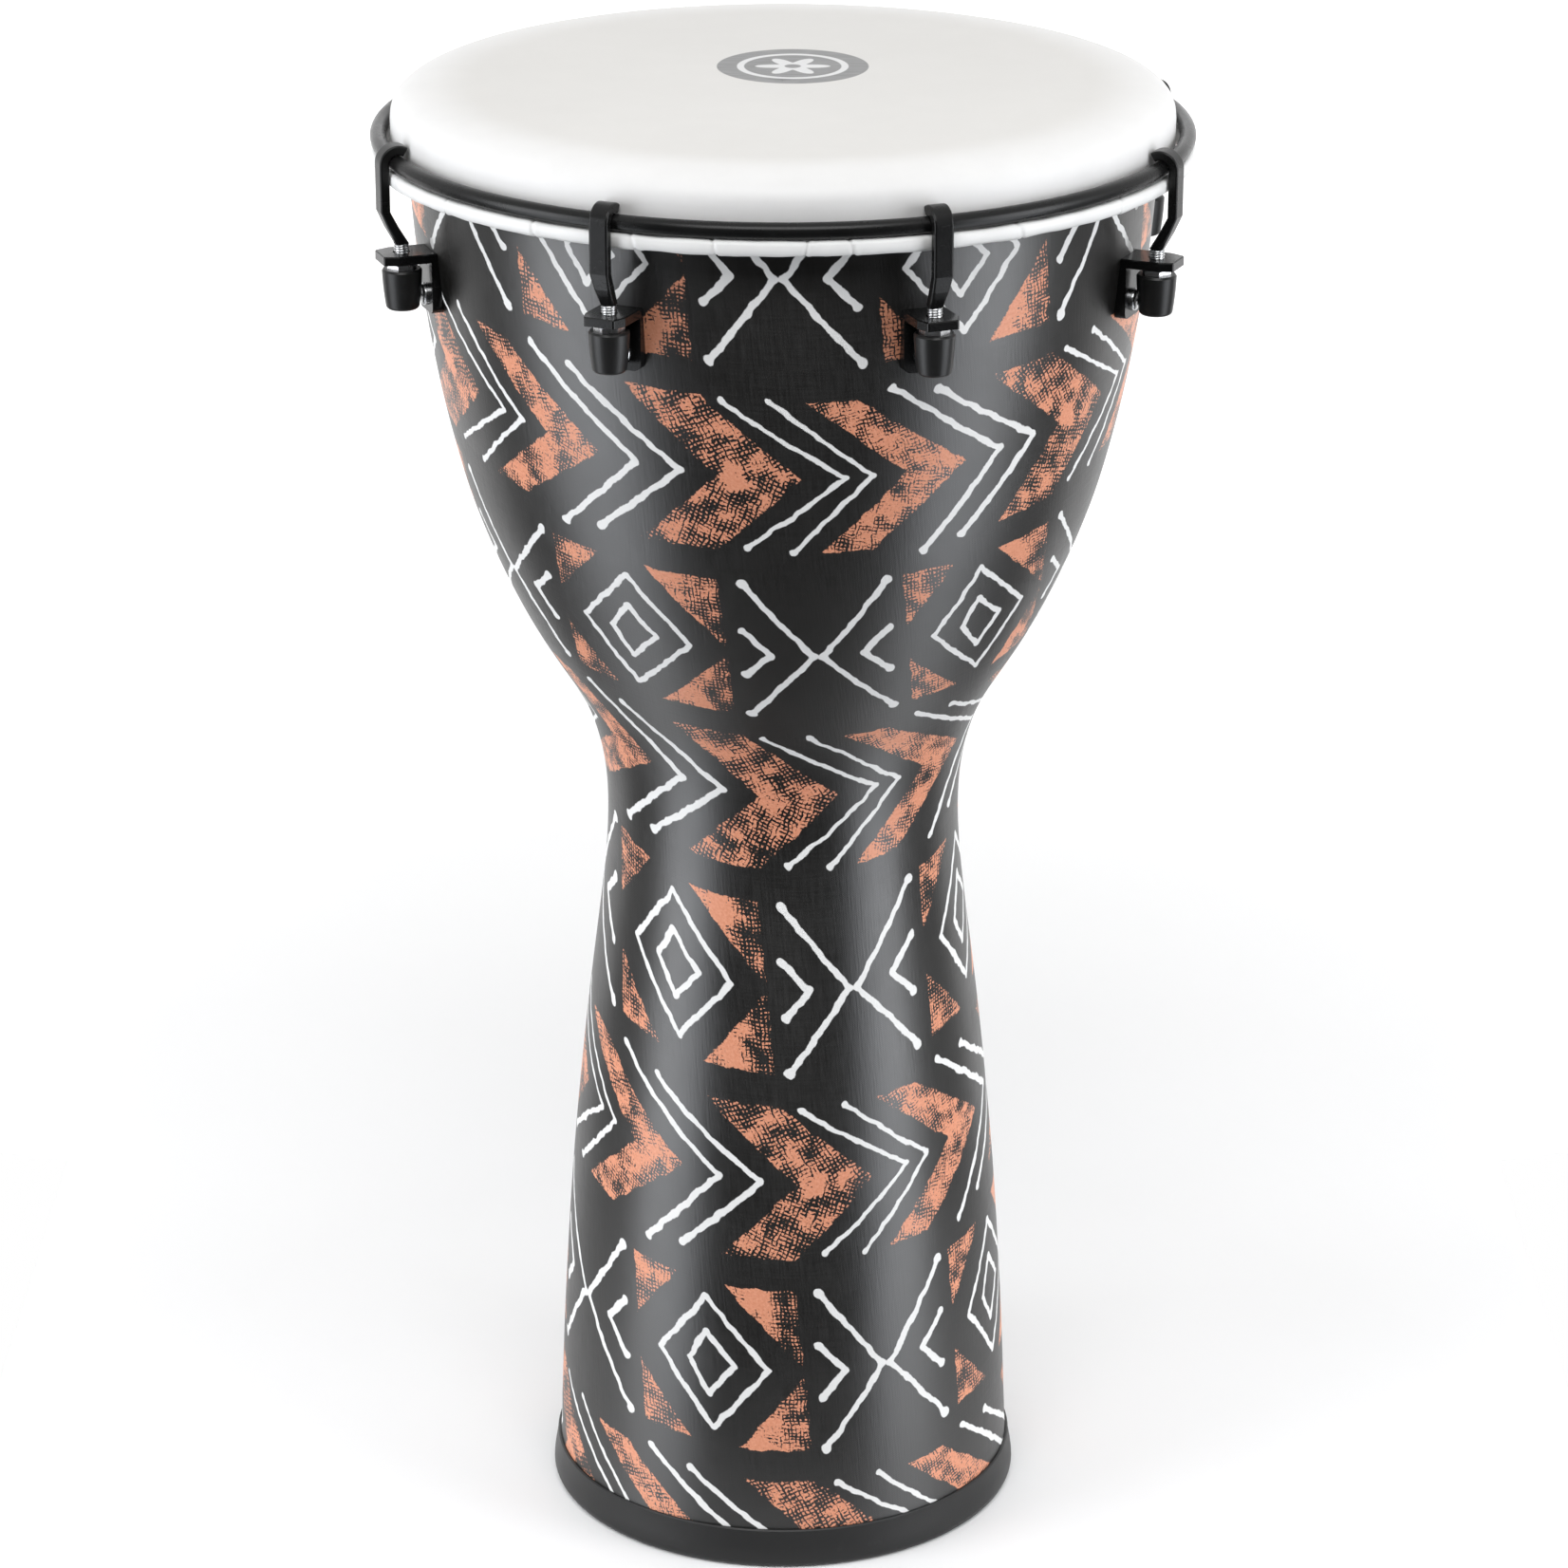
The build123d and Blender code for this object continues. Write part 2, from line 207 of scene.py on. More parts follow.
def plated(name, colour, rough, streak):
    """Bright plating: fine machining streaks, faint stains and small roughness changes."""
    g = Graph(name)
    lines = g.noise(g.place(streak), 1.0, 3.0, 0.6)
    stain = g.noise(g.place(), 60.0, 4.0, 0.65)
    shade = tuple(c * 0.72 for c in colour[:3]) + (1.0,)
    g.set(
        Base_Color=g.mix(g.ramp(stain, 0.45, 0.75), colour, shade),
        Metallic=1.0,
        Roughness=g.ramp(lines, 0.25, 0.75, rough * 0.6, rough * 1.5),
        Normal=g.bump(lines, 0.00003, 0.35),
    )
    return g.material


def moulded(name, level, rough, grain, depth):
    """Moulded plastic or rubber: fine grain, soft cloudiness and rubbed spots."""
    g = Graph(name)
    at = g.place()
    fine = g.noise(at, grain, 4.0, 0.65)
    cloud = g.noise(at, 18.0, 3.0, 0.55)
    rub = g.ramp(g.noise(at, 120.0, 4.0, 0.7), 0.6, 0.78)
    tone = g.m("MULTIPLY_ADD", cloud, 0.5, 0.75)
    base = g.mix(rub, grey(level), grey(level * 1.5))
    g.set(
        Base_Color=g.v("SCALE", base, scale=tone),
        Roughness=g.ramp(cloud, 0.3, 0.7, rough - 0.05, rough + 0.08),
        Normal=g.bump(fine, depth, 0.6),
        Specular_IOR_Level=0.35,
    )
    return g.material


# ---- the printed cloth ---------------------------------------------------------------
TILE_WIDTH = 144.0            # one repeat of the print, mm of cloth
TILE_HEIGHT = 163.0
ROW_DROP = 80.5               # from a row of crosses down to the row of arrows
COARSE_MIDDLE = -32.0         # rust arrows with a coarse screen and with a fine one
FINE_MIDDLE = 36.0
TRIANGLE_MIDDLE = 2.0
ARROW_MIDDLE = 0.8
NOTCH = 7.0                   # where the coarse arrow's paint is heaviest
EDGE = 0.16                   # half width of a painted line's soft edge
SLOW_WANDER = 2.6             # how far the painted edges stray
QUICK_WANDER = 0.5
WEAVE_PITCH = 0.88            # from thread to thread
WHITE = (0.77, 0.77, 0.76, 1.0)
RUST = (0.64, 0.25, 0.14, 1.0)
RUST_PALE = (0.72, 0.32, 0.20, 1.0)

# Painted lines: (open or closed run of points, half width, radius of the end blobs), mm
# from the middle of their repeat.
CROSS_LINES = [
    ([(-26, 36), (-1.7, 0.5), (-29, -33)], 1.25, 2.1),
    ([(30, 36), (1.7, 0.5), (28, -33)], 1.25, 2.1),
    ([(-28, 13), (-18, 1.2), (-28.5, -10)], 1.4, 1.8),
    ([(29, 12.5), (18, 1), (28, -10.5)], 1.4, 1.8),
]
DIAMOND_MIDDLE = (-73.0, 1.5)
DIAMOND_LINES = [
    ([(0, 29), (23.5, 0.5), (-2, -28), (-23.5, 0.5), (0, 29)], 1.15, 1.3),
    ([(-1.5, 13.5), (9.5, 0.5), (-2.5, -13), (-10, 0.5), (-1.5, 13.5)], 1.2, 1.6),
]
THIN_ARROWS = [
    ([(-26, 32), (17.5, 1), (-22, -29.5)], 0.95, 1.35),
    ([(-8, 33), (28, 1), (-5, -31)], 0.95, 1.35),
]
BROAD_MIDDLE = 69.0
BROAD_ARROWS = [
    ([(-30.5, 36.5), (12.5, 1.2), (-23.5, -35.5)], 1.25, 1.75),
    ([(-12.5, 33.3), (30, 1.2), (-6.7, -32)], 1.25, 1.75),
]


def segment(g, p, a, b):
    """Distance from p to the line from a to b."""
    ab = (b[0] - a[0], b[1] - a[1], 0.0)
    length2 = ab[0] ** 2 + ab[1] ** 2
    pa = g.v("SUBTRACT", p, (a[0], a[1], 0.0))
    along = g.v("DOT_PRODUCT", pa, tuple(c / length2 for c in ab))
    along = g.m("ADD", along, 0.0, clamp=True)
    near = g.v("SCALE", ab, scale=along)
    return g.v("DISTANCE", pa, near)


def lines(g, p, runs, whole=None):
    """Smallest distance to the painted lines, less their half widths."""
    for points, half, blob in runs:
        for a, b in zip(points, points[1:]):
            d = g.m("SUBTRACT", segment(g, p, a, b), half)
            whole = d if whole is None else g.m("MINIMUM", whole, d)
        ends = {points[0], points[-1], points[len(points) // 2]}
        for end in sorted(ends):
            size = blob if end in (points[0], points[-1]) else (blob + half) / 2
            d = g.m("SUBTRACT", g.v("DISTANCE", p, (end[0], end[1], 0.0)), size)
            whole = g.m("SMOOTH_MIN", whole, d, 1.2)
    return whole


def side(g, x, y, a, b):
    """How far (x, y) lies to the right of the line from a to b."""
    dx, dy = b[0] - a[0], b[1] - a[1]
    size = math.hypot(dx, dy)
    first = g.m("MULTIPLY", x, dy / size)
    offset = (a[1] * dx - a[0] * dy) / size
    return g.m("ADD", g.m("MULTIPLY_ADD", y, -dx / size, first), offset)


def inside(g, x, y, corners):
    """Depth inside a convex outline given clockwise: positive inside."""
    depth = None
    for a, b in zip(corners, corners[1:] + corners[:1]):
        d = side(g, x, y, a, b)
        depth = d if depth is None else g.m("MINIMUM", depth, d)
    return depth


def fold(g, value, middle):
    """Distance from the middle, so that one half of a shape serves for both."""
    return g.m("ABSOLUTE", g.m("SUBTRACT", value, middle))


def screen(g, x, y, pitch, turn):
    """A net of broken lines, -1 on a line and 1 in a hole, turned by so many degrees."""
    c, s = math.cos(math.radians(turn)), math.sin(math.radians(turn))
    k = 2 * math.pi / pitch
    a = g.m("MULTIPLY_ADD", x, c * k, g.m("MULTIPLY", y, s * k))
    b = g.m("MULTIPLY_ADD", x, -s * k, g.m("MULTIPLY", y, c * k))
    dash = g.noise(g.join(g.m("MULTIPLY", a, 0.16), g.m("MULTIPLY", b, 0.05)), 1.0, 1.0, 0.5)
    slide = g.m("MULTIPLY", g.m("SUBTRACT", dash, 0.5), 3.2)
    across = g.m("ADD", g.m("COSINE", a), slide)
    along = g.m("SUBTRACT", g.m("COSINE", b), slide)
    return g.m("MINIMUM", across, along)


def weave_height(g, x, y, pitch):
    """Over-and-under threads, from -1 to 1."""
    k = 2 * math.pi / pitch
    over = g.m("COSINE", g.m("MULTIPLY", x, k))
    under = g.m("COSINE", g.m("MULTIPLY", y, k))
    return g.m("MULTIPLY", over, under)


def wrapped(g, value, middle, period):
    """Place within one repeat, measured from the middle of that repeat."""
    return g.m("WRAP", g.m("SUBTRACT", value, middle), period / 2, -period / 2)


def cloth_material():
    g = Graph("cloth_print")
    at = g.named("cloth")
    # the painted edges wander a little
    slow = g.v("SUBTRACT", g.noise(at, 0.16, 1.0, 0.5, colour=True), (0.5, 0.5, 0.5))
    quick = g.v("SUBTRACT", g.noise(at, 0.75, 2.0, 0.6, colour=True), (0.5, 0.5, 0.5))
    moved = g.v("ADD", g.v("ADD", at, g.v("SCALE", slow, scale=SLOW_WANDER)),
                g.v("SCALE", quick, scale=QUICK_WANDER))
    x, y, _ = g.split(moved)
    row_x = wrapped(g, y, 0.0, TILE_HEIGHT)
    row_a = wrapped(g, y, -ROW_DROP, TILE_HEIGHT)

    cross_u = wrapped(g, x, 0.0, TILE_WIDTH)
    diamond_u = wrapped(g, x, DIAMOND_MIDDLE[0], TILE_WIDTH)
    broad_u = wrapped(g, x, BROAD_MIDDLE, TILE_WIDTH)
    white = lines(g, g.join(cross_u, row_x), CROSS_LINES)
    at_diamond = g.join(diamond_u, g.m("SUBTRACT", row_x, DIAMOND_MIDDLE[1]))
    white = lines(g, at_diamond, DIAMOND_LINES, white)
    white = lines(g, g.join(cross_u, row_a), THIN_ARROWS, white)
    white = lines(g, g.join(broad_u, row_a), BROAD_ARROWS, white)
    white = g.ramp(white, EDGE, -EDGE)

    # rust shapes: coarse arrow, fine arrow, and the triangles beside the crosses
    tri_y = fold(g, row_x, TRIANGLE_MIDDLE)
    arrow_y = fold(g, row_a, ARROW_MIDDLE)
    coarse_u = wrapped(g, x, COARSE_MIDDLE, TILE_WIDTH)
    fine_u = wrapped(g, x, FINE_MIDDLE, TILE_WIDTH)
    coarse = inside(g, coarse_u, arrow_y, [(-32, 32.5), (-2, 32.5), (34, -1), (2.7, -1)])
    fine = inside(g, fine_u, arrow_y, [(-30, 32), (-11, 32), (31, -1), (6.8, -1)])
    big = inside(g, cross_u, tri_y, [(-64.5, 35.2), (-35.4, 35.2), (-35.4, 2.4)])
    small = inside(g, cross_u, tri_y, [(36.6, 10.0), (36.6, 35.2), (58.6, 35.2)])

    blotch = g.noise(at, 0.11, 2.0, 0.55)
    grit = g.noise(at, 0.9, 3.0, 0.6)
    dots_a = screen(g, x, arrow_y, 1.75, 24.0)
    dots_b = screen(g, x, arrow_y, 1.45, 14.0)
    dots_t = screen(g, x, row_x, 1.6, 0.0)

    def cover(depth, dots, full, screen_part, heavy):
        """Ink coverage: whole where the paint is heavy, opened by the screen elsewhere."""
        load = g.m("MULTIPLY_ADD", g.m("SUBTRACT", blotch, 0.5), 4.2, full)
        load = g.m("ADD", load, g.m("MULTIPLY", g.m("SUBTRACT", grit, 0.5), 2.2))
        load = g.m("MULTIPLY_ADD", dots, screen_part, load)
        load = g.m("ADD", load, heavy)
        ink = g.ramp(load, -0.12, 0.16)
        ragged = g.m("MULTIPLY_ADD", g.m("SUBTRACT", grit, 0.5), 1.6, depth)
        return g.m("MULTIPLY", ink, g.ramp(ragged, -0.15, 0.15))

    notch = g.v("LENGTH", g.join(g.m("SUBTRACT", coarse_u, NOTCH), arrow_y))
    notch = g.ramp(notch, 8.0, 3.0, 0.0, 1.0)
    outer = g.ramp(cross_u, -40.0, -52.0, -0.35, 0.75)
    rust = cover(coarse, dots_a, 0.20, 0.62, notch)
    rust = g.m("MAXIMUM", rust, cover(fine, dots_b, 0.42, 0.55, 0.0))
    rust = g.m("MAXIMUM", rust, cover(big, dots_t, 0.30, 0.60, outer))
    rust = g.m("MAXIMUM", rust, cover(small, dots_t, 0.24, 0.62, 0.0))

    # threads: fine weave, slubs running up the drum, and lacquer that evens the gloss
    px, py, _ = g.split(at)
    weave = weave_height(g, px, py, WEAVE_PITCH)
    slub = g.noise(g.v("MULTIPLY", at, (1.25, 0.07, 1.0)), 1.0, 3.0, 0.62)
    weft = g.noise(g.v("MULTIPLY", at, (0.06, 1.3, 1.0)), 1.0, 2.0, 0.6)
    thread = g.m("ADD", g.m("MULTIPLY", slub, 0.62), g.m("MULTIPLY", weft, 0.38))
    cloudy = g.noise(at, 0.025, 3.0, 0.5)
    ground = g.mix(g.ramp(thread, 0.38, 0.62), grey(0.0020, 0.15), grey(0.0065, 0.06))
    rust_tone = g.mix(g.ramp(grit, 0.35, 0.65), RUST, RUST_PALE)
    colour = g.mix(rust, ground, rust_tone)
    colour = g.mix(white, colour, WHITE)
    paint = g.m("MAXIMUM", white, rust)
    height = g.m("MULTIPLY_ADD", weave, 0.12, g.m("MULTIPLY", thread, 1.6))
    gloss = g.ramp(cloudy, 0.3, 0.7, 0.38, 0.45)
    gloss = g.m("MULTIPLY_ADD", g.m("SUBTRACT", thread, 0.5), 0.35, gloss)
    gloss = g.m("MULTIPLY_ADD", paint, 0.05, gloss)
    around = g.tree.nodes.new("ShaderNodeTangent")
    around.direction_type = "RADIAL"
    around.axis = "Z"
    g.set(Base_Color=colour, Roughness=gloss, Normal=g.bump(height, 0.00008, 0.75),
          Specular_IOR_Level=g.ramp(paint, 0.0, 1.0, 0.95, 0.40), Anisotropic=0.8,
          Anisotropic_Rotation=0.25, Tangent=around.outputs[0])
    return g.material


# ---- mesh helpers --------------------------------------------------------------------
def add_mesh(name, points, faces, material):
    data = bpy.data.meshes.new(name)
    data.from_pydata([tuple(p) for p in points], [], faces)
    data.validate()
    data.update()
    data.polygons.foreach_set("use_smooth", [True] * len(data.polygons))
    data.materials.append(material)
    piece = bpy.data.objects.new(name, data)
    bpy.context.scene.collection.objects.link(piece)
    return piece


def grid_faces(rows, columns, close_rows=False, close_columns=False):
    """Quads of a rows x columns point grid, wound so that +row x +column is outwards."""
    faces = []
    for i in range(rows if close_rows else rows - 1):
        for j in range(columns if close_columns else columns - 1):
            k, n = (i + 1) % rows, (j + 1) % columns
            faces.append((i * columns + j, i * columns + n, k * columns + n, k * columns + j))
    return faces


def natural_spline(xs, ys, at):
    """Cubic through (xs, ys), with no bend at its ends, read at the given places."""
    xs, ys = np.array(xs, float), np.array(ys, float)
    n, h = len(xs), np.diff(xs)
    system, right = np.eye(n), np.zeros(n)
    for i in range(1, n - 1):
        system[i, i - 1:i + 2] = h[i - 1], 2 * (h[i - 1] + h[i]), h[i]
        right[i] = 6 * ((ys[i + 1] - ys[i]) / h[i] - (ys[i] - ys[i - 1]) / h[i - 1])
    bend = np.linalg.solve(system, right)
    i = np.clip(np.searchsorted(xs, at) - 1, 0, n - 2)
    a, b = (xs[i + 1] - at) / h[i], (at - xs[i]) / h[i]
    curve = (a ** 3 - a) * bend[i] + (b ** 3 - b) * bend[i + 1]
    return a * ys[i] + b * ys[i + 1] + curve * h[i] ** 2 / 6


# ---- cloth wrap ------------------------------------------------------------------------
# heights, mm, at which the outside of the CAD's wrap is read, closer where the wall turns
WRAP_LEVELS = (4, 30, 60, 100, 140, 180, 220, 260, 280, 300, 321, 335, 350, 365, 380, 400,
               420, 440, 460, 480, 500, 520, 546, 574)
FACES_OUT = 0.5               # a corner is on the outside if its normal points outwards so much
FINE_LEVELS = 4001
CLOTH_COLUMNS = 300
CLOTH_ROWS = 150
CLOTH_THICKNESS = 0.0005
SEAM_LAP = 9.0                # mm of overlap at the back
SEAM_RISE = 0.55
SEAM_EASE = 0.35              # share of the lap over which the seam rises
CROSS_LEVEL = 407.3           # mm of cloth from the foot's edge to a row of crosses
CROSS_ACROSS = 26.4
GRAIN_LEAN = -0.093           # the cloth's straight grain leans as the goblet swells
GRAIN_START = 25.0
GRAIN_TURN = -2.9
ROW_RISE = (15.5, 0.0275)     # how far the rows climb towards the sides


def wrap_radii():
    """Outside radius of the CAD's wrap at each of WRAP_LEVELS, mm."""
    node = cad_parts["fabric_wrap"]
    place = np.array([tuple(node.matrix_world @ v.co) for v in node.data.vertices]) * MM
    normal = np.array([tuple(v.normal) for v in node.data.vertices])
    radius = np.hypot(place[:, 0], place[:, 1])
    out = (normal[:, 0] * place[:, 0] + normal[:, 1] * place[:, 1]) / radius
    outside = np.flatnonzero(out > FACES_OUT)
    rising = outside[np.argsort(place[outside, 2])]
    return np.interp(WRAP_LEVELS, place[rising, 2], radius[rising])


def cloth_points():
    """The wrap's rows (run along the wall, height and radius, mm) and the angle of each column."""
    fine = np.linspace(WRAP_LEVELS[0], WRAP_LEVELS[-1], FINE_LEVELS)
    radius = natural_spline(WRAP_LEVELS, wrap_radii(), fine)
    run = np.concatenate([[0.0], np.cumsum(np.hypot(np.diff(radius), np.diff(fine)))])
    s = np.linspace(0.0, run[-1], CLOTH_ROWS)
    z = np.interp(s, run, fine)
    r = np.interp(s, run, radius)
    theta = np.linspace(-math.pi, math.pi, CLOTH_COLUMNS)
    return s, z, r, theta


def make_cloth():
    s, z, r, theta = cloth_points()
    rows, columns = len(s), len(theta)
    points = np.zeros((rows, columns, 3))
    flat = np.zeros((rows, columns, 3))
    for i in range(rows):
        lap = SEAM_LAP / r[i]
        back = np.clip((theta - (math.pi - lap)) / (lap * SEAM_EASE), 0.0, 1.0)
        rise = SEAM_RISE * back * back * (3 - 2 * back)
        around = r[i] + rise
        points[i, :, 0] = around * np.sin(theta)
        points[i, :, 1] = -around * np.cos(theta)
        points[i, :, 2] = z[i]
        v = s[i] - (ROW_RISE[0] + ROW_RISE[1] * s[i]) * (1 - np.cos(theta))
        v = v - GRAIN_TURN * theta
        flat[i, :, 0] = r[i] * theta - (GRAIN_START + GRAIN_LEAN * v) - CROSS_ACROSS
        flat[i, :, 1] = v - CROSS_LEVEL
    piece = add_mesh("cloth_wrap", points.reshape(-1, 3) / MM,
                     grid_faces(rows, columns), cloth_material())
    field = piece.data.attributes.new("cloth", "FLOAT_VECTOR", "POINT")
    field.data.foreach_set("vector", flat.reshape(-1))
    skin = piece.modifiers.new("thickness", "SOLIDIFY")
    skin.thickness = CLOTH_THICKNESS
    skin.offset = -1.0
    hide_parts("fabric_wrap")
    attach(piece, "drum")


# ---- head film --------------------------------------------------------------------------
HEAD_COLUMNS = 288
FILM_EDGE = [
    (131.0, 600.0), (136.5, 599.85), (141.0, 599.4), (144.6, 598.5), (147.5, 597.2),
    (149.7, 595.5), (151.3, 593.4), (152.2, 590.9), (152.5, 588.0),
]
SKIRT = [(152.5, 584.0), (152.5, 580.0), (152.5, 576.5), (152.5, 573.4)]
FLAT_RINGS = (0.05, 8, 16, 24, 32, 40, 52, 64, 76, 88, 100, 110, 120, 126)
FILM_THICKNESS = 0.5
BADGE_MIDDLE = (0.0038, 0.0242)
BADGE_RADIUS = 0.030
BADGE_RING = 0.0205
BADGE_EDGE = 0.0004           # soft edge of the badge and of its mark
STAR_ARMS = 6.0
STAR_REACH = 0.0105
STAR_WAVE = 0.0042
FACE_LEVEL = 0.59             # the badge is only on the playing face, above this
# colour of the flat face, and of the rim with its painted highlight
HEAD_FLAT = (0.655, 0.643, 0.618, 1.0)
HEAD_RIM_AND_SHEEN = (0.765, 0.76, 0.75, 1.0)


def head_material():
    g = Graph("head_film")
    at = g.place()
    x, y, z = g.split(at)
    speck = g.noise(at, 1500.0, 3.0, 0.6)
    mottle = g.noise(at, 55.0, 4.0, 0.6)
    cloud = g.noise(at, 9.0, 3.0, 0.55)
    out = g.v("LENGTH", g.join(x, y))
    # the rim is painted lighter than the flat face: partly where the face's coating ends, partly a
    # painted highlight where the film turns over the shoulder
    rim_and_sheen = g.ramp(out, 0.118, 0.146, smooth=True)
    tone = g.m("ADD", g.ramp(mottle, 0.3, 0.7, -0.012, 0.012),
               g.ramp(cloud, 0.3, 0.7, -0.015, 0.015))
    colour = g.mix(rim_and_sheen, HEAD_FLAT, HEAD_RIM_AND_SHEEN)
    colour = g.v("ADD", colour, g.join(tone, tone, tone))
    # a round badge with a plain mark: a ring round a six-armed star
    bx = g.m("SUBTRACT", x, BADGE_MIDDLE[0])
    by = g.m("SUBTRACT", y, BADGE_MIDDLE[1])
    reach = g.v("LENGTH", g.join(bx, by))
    disc = g.m("MULTIPLY", g.ramp(reach, BADGE_RADIUS, BADGE_RADIUS - BADGE_EDGE),
               g.m("GREATER_THAN", z, FACE_LEVEL))
    ring = g.ramp(g.m("ABSOLUTE", g.m("SUBTRACT", reach, BADGE_RING)), 0.0016, 0.0012)
    angle = g.m("ARCTAN2", by, bx)
    ripple = g.m("COSINE", g.m("MULTIPLY", angle, STAR_ARMS))
    petal = g.m("MULTIPLY_ADD", ripple, STAR_WAVE, STAR_REACH)
    star = g.ramp(g.m("SUBTRACT", reach, petal), BADGE_EDGE, -BADGE_EDGE)
    eye = g.ramp(reach, 0.0034, 0.0030)
    mark = g.m("MAXIMUM", ring, g.m("SUBTRACT", star, eye), clamp=True)
    brushed = g.noise(g.place((60.0, 900.0, 60.0)), 1.0, 3.0, 0.6)
    badge = g.mix(g.ramp(brushed, 0.3, 0.7), grey(0.17), grey(0.26))
    badge = g.mix(mark, badge, grey(0.68))
    colour = g.mix(disc, colour, badge)
    g.set(
        Base_Color=colour,
        Roughness=g.m("MULTIPLY_ADD", speck, 0.06, g.ramp(mottle, 0.3, 0.7, 0.42, 0.50)),
        Normal=g.bump(g.m("MULTIPLY_ADD", speck, 0.5, g.m("MULTIPLY", mottle, 0.6)), 0.00005, 0.5),
        Subsurface_Weight=0.08,
        Subsurface_Radius=(0.004, 0.004, 0.0035),
        Subsurface_Scale=1.0,
    )
    return g.material


def turned_outline(name, outline, columns, material, wave=None):
    """Revolve a closed (radius, height) outline in mm; wave moves points outwards."""
    theta = np.linspace(0, 2 * math.pi, columns, endpoint=False)
    points = []
    for k, (radius, height) in enumerate(outline):
        shift = wave(k, theta) if wave else np.zeros((2, columns))
        reach = radius + shift[0]
        x, y = reach * np.cos(theta), reach * np.sin(theta)
        points.append(np.stack([x, y, height + shift[1]], 1))
    points = np.concatenate(points) / MM
    return add_mesh(name, points, grid_faces(len(outline), columns, True, True), material)


def make_head():
    top = [(r, FILM_EDGE[0][1]) for r in FLAT_RINGS] + FILM_EDGE + SKIRT
    under = []
    for k, (r, z) in enumerate(top):
        a = top[max(k - 1, 0)]
        b = top[min(k + 1, len(top) - 1)]
        d = math.hypot(b[0] - a[0], b[1] - a[1])
        across, up = (b[1] - a[1]) / d, -(b[0] - a[0]) / d
        under.append((r + across * FILM_THICKNESS, z + up * FILM_THICKNESS))
    outline = list(reversed(top)) + under
    piece = turned_outline("head_skin", outline, HEAD_COLUMNS, head_material())
    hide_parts("head_film")
    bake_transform(piece)


# ---- rolled hoop ---------------------------------------------------------------------------
HOOP_LOW, HOOP_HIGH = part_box("flesh_hoop")
HOOP_COLUMNS = 1500
HOOP_SIDES = 20               # points round its section
HOOP_INNER = 153.15
HOOP_SQUARE = 0.62            # below 1 the section fills its corners
PLEAT_WIDTH = 0.55            # mm; the fold beside it is at PLEAT_RIDGE, RIDGE_WIDTH wide
PLEAT_RIDGE = 1.5
RIDGE_WIDTH = 0.9
RIDGE_SHARE = 0.4
PLEAT_LEAN = 2.2
HOOP_WAVER = 0.05             # slow waver of the hem, mm, and how far in it starts
HOOP_INSET = 0.16
PLEATS = (-171, -158, -139, -121, -104, -87, -66, -52, -35, -20, -9, 3, 9, 21, 33, 52, 69, 88,
          107, 121, 140, 160, 174)      # degrees from the front


def hoop_material():
    g = Graph("hoop_skin")
    at = g.place()
    fine = g.noise(at, 900.0, 3.0, 0.6)
    cloud = g.noise(at, 40.0, 4.0, 0.6)
    _, _, z = g.split(at)
    # painted shade: the hoop's white is darkened towards its underside, over its lowest 3.5 mm
    under = g.ramp(z, HOOP_LOW.z + 0.0035, HOOP_LOW.z + 0.0005)
    base = g.mix(g.ramp(cloud, 0.3, 0.7), (0.74, 0.74, 0.73, 1.0), (0.80, 0.80, 0.79, 1.0))
    g.set(
        Base_Color=g.mix(g.m("MULTIPLY", under, 0.35), base, (0.52, 0.52, 0.51, 1.0)),
        Roughness=g.ramp(cloud, 0.3, 0.7, 0.34, 0.46),
        Normal=g.bump(g.m("ADD", g.m("MULTIPLY", fine, 0.3), cloud), 0.00012, 0.5),
    )
    return g.material


def make_hoop():
    inner, outer = HOOP_INNER, HOOP_HIGH.x * MM
    low, high = HOOP_LOW.z * MM, HOOP_HIGH.z * MM
    middle, half_r, half_z = (inner + outer) / 2, (outer - inner) / 2, (high - low) / 2
    outline = []
    for k in range(HOOP_SIDES):
        a = 2 * math.pi * k / HOOP_SIDES
        c, s = math.cos(a), math.sin(a)
        outline.append((middle + half_r * math.copysign(abs(c) ** HOOP_SQUARE, c),
                        (low + high) / 2 + half_z * math.copysign(abs(s) ** HOOP_SQUARE, s)))
    draw = np.random.default_rng(SEED)
    depth = draw.uniform(0.40, 0.80, len(PLEATS))
    slope = draw.uniform(-0.6, 0.6, len(PLEATS))
    ripple = draw.uniform(0, 2 * math.pi, 9)

    def wave(k, theta):
        """Pleats pressed into the hem and its slow waver, as shifts outwards and upwards."""
        a = 2 * math.pi * k / HOOP_SIDES
        front = theta + math.pi / 2
        groove = np.zeros(len(theta))
        for where, deep, lean in zip(PLEATS, depth, slope):
            off = (front - math.radians(where) + math.pi) % (2 * math.pi) - math.pi
            mm = off * middle - lean * PLEAT_LEAN * math.sin(a)
            groove -= deep * np.exp(-(mm / PLEAT_WIDTH) ** 2)
            groove += deep * RIDGE_SHARE * np.exp(-((mm - PLEAT_RIDGE) / RIDGE_WIDTH) ** 2)
        slow = sum(HOOP_WAVER * np.sin((5 + 7 * i) * front + p) for i, p in enumerate(ripple))
        shift = np.minimum(groove + slow - HOOP_INSET, 0.0)
        return np.stack([shift * math.cos(a), shift * math.sin(a)])

    piece = turned_outline("hoop_skin", outline, HOOP_COLUMNS, hoop_material(), wave)
    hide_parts("flesh_hoop")
    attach(piece, "tension_assembly")


# ---- threaded rods ---------------------------------------------------------------------------
THREAD_STEPS = 24             # points per turn
THREAD_PITCH = 1.0
THREAD_DEPTH = 0.42
ROOT_END, CREST_START, CREST_END, ROOT_START = 0.0, 0.36, 0.52, 0.88   # shares of a pitch
ROD_RADIUS = 2.95


